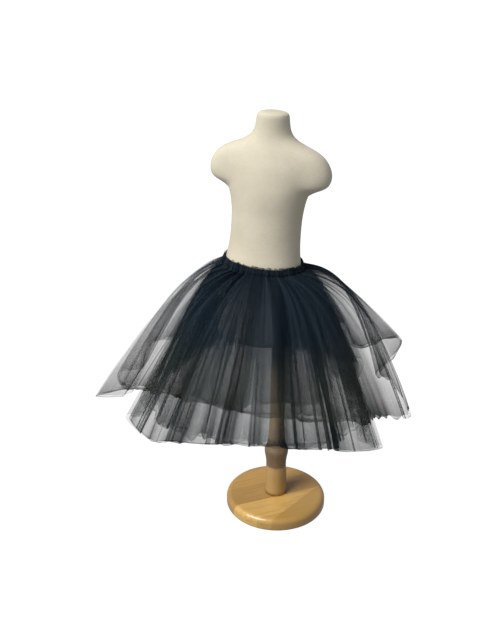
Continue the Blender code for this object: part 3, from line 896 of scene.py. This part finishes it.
def fold_shift(folds, around, parts):
    """The sideways shift of the pressed folds, and their lift as a part of the way round."""
    shift, lift = np.zeros_like(around), np.zeros_like(around)
    for place, width, slant, press, opens, fades in folds:
        off = ((around - place - slant * (parts - 0.5) + 0.5) % 1.0 - 0.5) / width
        wave = -off * np.exp(0.5 - off * off / 2)
        size = smooth_step((parts - opens) / OPENING) * (1 - smooth_step((parts - fades) / FADING)) * width
        shift += press * size * wave
        lift += FOLD_LIFT * size * wave
    return shift, lift


def fold_columns(folds):
    """Where the columns of points stand round a ply: even, and closer together across each pressed fold."""
    fine = np.arange(COLUMN_STEPS + 1) / COLUMN_STEPS
    crowd = np.ones(COLUMN_STEPS)
    for place, width, *_ in folds:
        off = ((fine[:-1] - place + 0.5) % 1.0 - 0.5) / (2 * width)
        crowd += COLUMNS_PER_FOLD / (EVEN_COLUMNS * BELL_AREA * width) * np.exp(-off * off)
    total = np.concatenate([[0.0], np.cumsum(crowd)])
    count = round(EVEN_COLUMNS * float(total[-1]) / COLUMN_STEPS)
    return np.interp(np.arange(count) / count * total[-1], total, fine)


def slow_wave(rng, around, lobes, size):
    """A smooth uneven wave round the layer, with up to this many lobes."""
    total = np.zeros_like(around)
    for lobe in range(2, lobes + 1):
        total += rng.normal() * np.sin(2 * np.pi * (lobe * around + rng.random())) / math.sqrt(lobe)
    return size * total / math.sqrt(math.log(lobes))


def spread_of_cloth(stations, crowding):
    """Places round the layer, in stations, their azimuths, and the part of its cloth before each."""
    places = np.linspace(0, len(stations), SPREAD_STEPS + 1)
    azimuths = along_hem(stations, places)[:, 0]
    fullness = np.ones_like(places)
    for azimuth, width, gain in crowding:
        off = (azimuths - azimuth + 180) % 360 - 180
        fullness += gain * np.exp(-((off / width) ** 2))
    cloth = np.concatenate([[0.0], np.cumsum((fullness[1:] + fullness[:-1]) / 2)])
    return places, azimuths, cloth / cloth[-1]


def frill(azimuths, wave, level, rng):
    """Rows of points that draw the outer net up over the casing, to an uneven edge above it."""
    parts = np.array(FRILL_PARTS)[:, None]
    teeth = rng.uniform(-1.0, 1.0, len(azimuths) // FRILL_TOOTH + 1)
    uneven = np.repeat(teeth, FRILL_TOOTH)[: len(azimuths)] * FRILL_UNEVEN
    height = BAND_BOTTOM + parts * band_height + uneven * parts**3
    proud = BAND_SLACK + np.interp(parts, *zip(*BAND_PROFILE)) + FRILL_CLEAR + FRILL_PLY_GAP * level
    return band_surface(azimuths + 0 * parts, height, proud + FRILL_WAVE * wave)


def fold_table_of(rng, layer, level, pressed, spread_azimuths, spread_cloth):
    """A ply's pressed folds, then the layer's sharp creases, which are a degree apart from ply to ply."""
    table = folds_of(rng, *pressed)
    first = layer["folds"][0][0]
    crests = (np.array(layer["creases"]) - first) % 360 + first + level
    for place in np.interp(crests, spread_azimuths, spread_cloth):
        table = np.vstack([table, (place, *CREASE_FOLD)])
    return table


def closeness_of(points, aside, columns, parts, cut_width, packing):
    """How closely the net is packed: the width cut for each column, against how much of it shows."""
    step = (np.roll(points, -1, axis=1) - np.roll(points, 1, axis=1)) / 2
    along = aside / np.linalg.norm(aside, axis=-1, keepdims=True)
    before, after = (columns - np.roll(columns, 1)) % 1.0, (np.roll(columns, -1) - columns) % 1.0
    cut = ((after + before) / 2 * cut_width)[None]
    shown = np.maximum(np.abs((step * along).sum(-1)), LEAST_SHOWN * np.linalg.norm(step, axis=-1))
    usual = cut.sum() / shown.sum(axis=1, keepdims=True)
    packed = np.clip(cut / np.maximum(shown, 1e-5) / usual, *PACKING_LIMITS)
    packed = packed * np.interp(parts, *zip(*packing))
    return packed / 2 + (np.roll(packed, 1, axis=1) + np.roll(packed, -1, axis=1)) / 4


def net_ply(layer, stations, cut_width, level, pressed, gather_count, loose, seed):
    """One ply: its points, its flat coordinates and how closely its net is packed, as grids."""
    rng = np.random.default_rng(seed)
    place_in = layer["place_in"]
    spread_places, spread_azimuths, spread_cloth = spread_of_cloth(stations, layer["crowding"])
    fold_table = fold_table_of(rng, layer, level, pressed, spread_azimuths, spread_cloth)
    columns = fold_columns(fold_table)
    around, parts = np.meshgrid(columns, np.linspace(0, 1, NET_ROWS) ** ROW_CROWDING)
    gather, gather_wave = gather_shift(gathers_of(rng, gather_count), around)
    shift, lift = fold_shift(fold_table, around, parts)
    closing = GATHERS_AT_HEM + (1 - GATHERS_AT_HEM) * (1 - parts) ** GATHER_EASE
    drift = slow_wave(rng, around, DRIFT_LOBES, DRIFT) * (parts - DRIFT_STILL)
    drawn = around + shift + gather * closing + drift
    places = np.interp(drawn % 1.0, spread_cloth, spread_places) + np.floor(drawn) * len(stations)
    deep = parts * (1 + slow_wave(rng, around, HEM_LOBES, layer["ragged"]) * parts)
    points = hang(stations, place_in, places, deep)
    aside = hang(stations, place_in, places + ASIDE_STEP, deep) - points
    below = hang(stations, place_in, places, deep + BELOW_STEP) - points
    outward = np.cross(below, aside)
    outward /= np.linalg.norm(outward, axis=-1, keepdims=True)
    girth = 2 * np.pi * np.hypot(points[..., 0], points[..., 1]).mean(axis=1, keepdims=True)
    rise = lift * girth + gather_wave * (GATHER_LIFT_MORE * (1 - parts) + GATHER_LIFT)
    rise += slow_wave(rng, around, LOOSE_LOBES, loose) * parts + level * (PLY_GAP + PLY_OPENING * parts)
    points = points + outward * np.clip(rise, -LIFT_LIMIT, LIFT_LIMIT)[..., None]
    packed = closeness_of(points, aside, columns, parts, cut_width, layer["packing"])
    flat = np.stack([around * cut_width, deep], -1)
    if place_in:
        top = points[:1] * (1 - TUCK_IN / np.hypot(points[:1, :, 0], points[:1, :, 1]))[..., None]
        top[..., 2] = points[:1, :, 2] + TUCK_UP
    else:
        top = frill(along_hem(stations, places[0])[:, 0], gather_wave[0], level, rng)
    count = len(top)
    return (
        np.vstack([top, points]),
        np.vstack([np.repeat(flat[:1], count, axis=0), flat]),
        np.vstack([np.repeat(packed[:1], count, axis=0), packed]),
    )


def net_cloth(name, clear, length, low_tone):
    """Net that lets this part of the light through one ply, and less where it is packed or folded over."""
    material, shade = new_material(name)
    flat = shade.node("UVMap", uv_map="flat")
    across, down = flat.part(0), flat.part(1)
    closeness = shade.node("Attribute", attribute_name="closeness", attribute_type="GEOMETRY", pick="Fac")
    rise = math.sqrt(3) / 2
    threads = None
    for a, b in ((1.0, 0.0), (0.5, rise), (-0.5, rise)):
        phase = (across * (a * math.pi / NET_PITCH)) + (down * (b * math.pi / NET_PITCH))
        line = 1 - shade.maths("ABSOLUTE", shade.maths("SINE", phase)).between(0.0, 0.55)
        threads = line if threads is None else threads.maths("MAXIMUM", threads, line)
    long_way = shade.node("Mapping", {"Vector": flat, "Scale": (150.0, 3.0, 1.0)})
    streaks = shade.node("TexNoise", {"Vector": long_way, "Scale": 1.0, "Detail": 3.0, "Roughness": 0.6})
    wide_way = shade.node("Mapping", {"Vector": flat, "Scale": (22.0, 2.0, 1.0)})
    bands = shade.node("TexNoise", {"Vector": wide_way, "Scale": 1.0, "Detail": 2.0})
    grain = shade.node("TexNoise", {"Vector": flat, "Scale": 210.0, "Detail": 2.0})
    clouds = shade.node("TexNoise", {"Vector": flat, "Scale": 11.0, "Detail": 3.0, "Roughness": 0.6})
    hem = down.between(length - HEM_LINE, length - HEM_LINE / 3)
    uneven = 1 + (streaks - 0.5) * 0.8 + (bands - 0.5) * 0.9 + (grain - 0.5) * 0.5 + (clouds - 0.5) * 0.5
    weight = closeness * (0.80 + threads * 0.36) * uneven.maths("MAXIMUM", uneven, 0.3) * (1 + hem)
    # Lighter streaks down the close net are painted sheen on its gathers.
    drawn = shade.node("Mapping", {"Vector": flat, "Scale": (44.0, 1.3, 1.0)})
    sheen_lines = shade.node("TexNoise", {"Vector": drawn, "Scale": 1.0, "Detail": 3.0, "Roughness": 0.62})
    close_tone_with_sheen = sheen_lines.between(0.42, 0.62).tint(THREAD, THREAD_SHEEN_STREAK)
    looks = {
        "Base Color": down.between(*TONE_CHANGE).tint(close_tone_with_sheen, low_tone),
        "Alpha": 1 - clear**weight,
        "Roughness": 0.6 + clouds * 0.2,
        "Sheen Weight": NET_HAZE,
        "Sheen Roughness": 0.45,
        "Sheen Tint": NET_SHEEN,
        "Specular IOR Level": 0.15,
        "Specular Tint": NET_SHINE,
    }
    return with_looks(material, looks)


def face_corners(grid):
    """A closed grid's values at the four corners of each face, in the order of the face's points."""
    beside = np.roll(grid, -1, axis=1)
    return np.stack([grid[:-1], grid[1:], beside[1:], beside[:-1]], -1)


def net_layer(layer):
    """A layer as one open mesh of its plies, with flat coordinates and closeness for its material."""
    name, plies, flat_size = layer["name"], layer["plies"], layer["flat_size"]
    material = net_cloth(f"{name}_black_net", layer["clear"], flat_size[1], layer["low_tone"])
    stations = hem_stations(layer["folds"])
    cut_width = flat_size[0] / len(plies)
    points, faces, flats, closeness = [], [], [], []
    start = 0
    for index, ply in enumerate(plies):
        level = index - (len(plies) - 1) / 2  # outward from the middle of the layer
        grid, flat, packed = net_ply(layer, stations, cut_width, level, *ply)
        rows, columns = grid.shape[:2]
        points.append(seated(grid))
        closeness.append(packed.reshape(-1))
        faces.append(face_corners(start + np.arange(rows * columns).reshape(rows, columns)).reshape(-1, 4))
        across = face_corners(flat[..., 0])
        across[:, -1, 2:] += cut_width
        down = face_corners(flat[..., 1]) * flat_size[1]
        flats.append(np.stack([across, down], -1).reshape(-1, 2))
        start += rows * columns
    points, faces = np.concatenate(points).tolist(), np.concatenate(faces).tolist()
    piece = finish_piece(
        f"{name}_net", points, faces, material, f"{name}_net", f"{name}_front", f"{name}_back"
    )
    mesh = piece.data
    packed = mesh.attributes.new("closeness", "FLOAT", "POINT")
    packed.data.foreach_set("value", np.concatenate(closeness).astype(np.float32))
    flat_map = mesh.uv_layers.new(name="flat")
    flat_map.data.foreach_set("uv", np.concatenate(flats).astype(np.float32).reshape(-1))
    piece.visible_shadow = False  # so sheer that it hardly dims what is inside it


INNER_PACKING = ((0.0, 2.4), (0.1, 1.5), (0.25, 1.15), (0.5, 1.12))  # of the long and middle layers

# folds: the large folds of its form; place_in: its place, counted inward from the outermost layer
# crowding: (azimuth, width to each side in degrees, how much fuller the net is there)
# creases: azimuths of the sharp creases
# packing: (part of the way down, how closely the net is packed)
# plies: (pressed folds, gathers, looseness at the hem in metres, seed), where the pressed folds are
#     (how many, least and most width as parts of the way round, least and most press)
# ragged: unevenness of the raw hem, as a part of the length
# flat_size: width and length of the cut net, all plies together
# clear: light that passes one ply; low_tone: the thread's tone where the net is loose
LAYERS = (
    dict(
        name="outer_layer",
        folds=OUTER_FOLDS,
        place_in=0,
        crowding=(
            (-54, 16, -0.6), (-98, 18, -0.65), (-122, 12, 0.6), (-27, 7, 1.2),
            (5, 22, -0.25), (60, 8, 2.0), (92, 14, -0.2), (130, 20, 0.8),
        ),
        creases=(-76, 77, 106, 132),
        packing=(
            (0.0, 2.8), (0.08, 1.8), (0.2, 1.05), (0.3, 0.92), (0.4, 0.88),
            (0.6, 0.80), (0.75, 0.86), (0.9, 1.15), (1.0, 1.8),
        ),
        plies=(
            ((22, (0.0007, 0.0140), (0.3, 0.95)), 120, 0.0035, 11),
            ((22, (0.0007, 0.0120), (0.3, 0.95)), 130, 0.0035, 12),
        ),
        ragged=0.016,
        flat_size=(4.6, 0.41),
        clear=0.70,
        low_tone=THREAD_WING,
    ),
    dict(
        name="long_layer",
        folds=LONG_FOLDS,
        place_in=1,
        crowding=((-75, 30, -0.25), (22, 7, -0.1), (52, 12, 1.0), (88, 20, -0.3)),
        creases=(-36, -28, 67),
        packing=(*INNER_PACKING, (0.75, 1.10), (0.9, 1.3), (1.0, 1.6)),
        plies=(
            ((20, (0.0014, 0.0160), (0.25, 1.0)), 110, 0.0030, 21),
            ((22, (0.0012, 0.0130), (0.25, 1.0)), 120, 0.0030, 22),
            ((18, (0.0016, 0.0180), (0.25, 1.0)), 115, 0.0030, 23),
        ),
        ragged=0.003,
        flat_size=(6.3, 0.42),
        clear=0.75,
        low_tone=THREAD_LOW,
    ),
    dict(
        name="middle_layer",
        folds=MIDDLE_FOLDS,
        place_in=2,
        crowding=((22, 7, -0.2), (-30, 16, 0.2)),
        creases=(58,),
        packing=(*INNER_PACKING, (0.75, 1.05), (0.9, 1.1), (1.0, 1.3)),
        plies=(
            ((20, (0.0014, 0.0160), (0.25, 1.0)), 105, 0.0030, 31),
            ((22, (0.0014, 0.0140), (0.25, 1.0)), 110, 0.0030, 32),
            ((18, (0.0016, 0.0160), (0.25, 1.0)), 100, 0.0030, 33),
        ),
        ragged=0.020,
        flat_size=(5.6, 0.375),
        clear=0.75,
        low_tone=THREAD_LOW,
    ),
    dict(
        name="short_layer",
        folds=SHORT_FOLDS,
        place_in=3,
        crowding=((-35, 20, 0.5), (46, 23, 1.0)),
        creases=(),
        packing=((0.0, 2.4), (0.1, 1.6), (0.25, 1.4), (0.6, 1.4), (0.8, 1.0), (1.0, 0.9)),
        plies=(
            ((28, (0.0020, 0.0110), (0.25, 1.0)), 110, 0.0025, 41),
            ((30, (0.0020, 0.0110), (0.25, 1.0)), 115, 0.0025, 42),
        ),
        ragged=0.014,
        flat_size=(3.1, 0.295),
        clear=0.72,
        low_tone=THREAD_LOW,
    ),
)
for layer in LAYERS:
    net_layer(layer)
